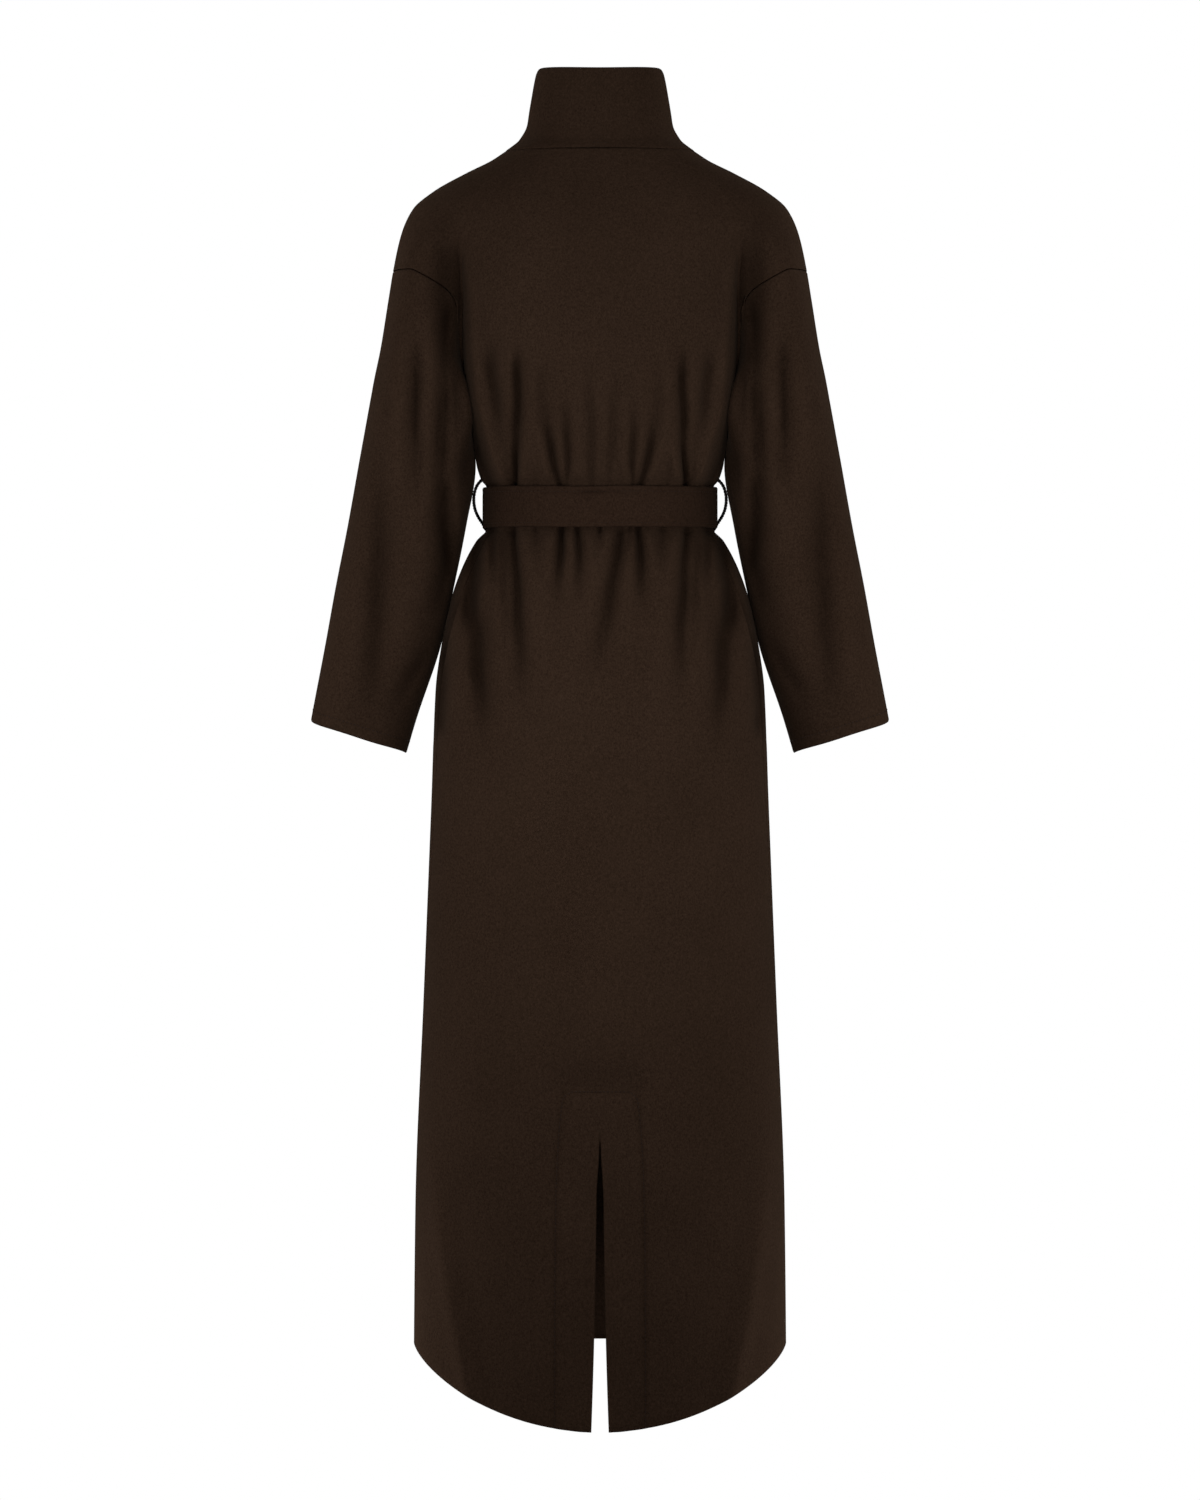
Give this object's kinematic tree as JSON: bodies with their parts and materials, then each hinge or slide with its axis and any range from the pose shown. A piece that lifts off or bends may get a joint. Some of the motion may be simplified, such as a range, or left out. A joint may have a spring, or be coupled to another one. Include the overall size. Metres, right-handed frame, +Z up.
{
  "type": "belted coat",
  "caption": "Long belted wool coat with a funnel collar, dropped sleeves, a wrapped front, a curved back hem with a faced slit, and a tied belt in thread loops.",
  "frame": {"origin": "base of the neck, on the centre line and level with the collar seam at the back, where the wearer's shoulders carry the coat", "axes": "+Z up, the front faces -Y, the back faces +Y and the wearer's left is +X"},
  "size_m": [0.592, 0.2945, 1.375],
  "materials": {
    "wool": "dark brown double-faced wool with a short soft nap",
    "belt_wool": "the same wool, doubled and topstitched",
    "thread": "black crocheted thread"
  },
  "bodies": {
    "root": {"back": "wool", "front_right": "wool", "front_left": "wool", "sleeve_right": "wool", "sleeve_left": "wool", "collar": "wool", "slit_facing": "wool", "belt_band": "belt_wool", "belt_knot": "belt_wool", "belt_end_right": "belt_wool", "belt_end_left": "belt_wool", "belt_loop_right": "thread", "belt_loop_left": "thread"}
  },
  "joints": []
}
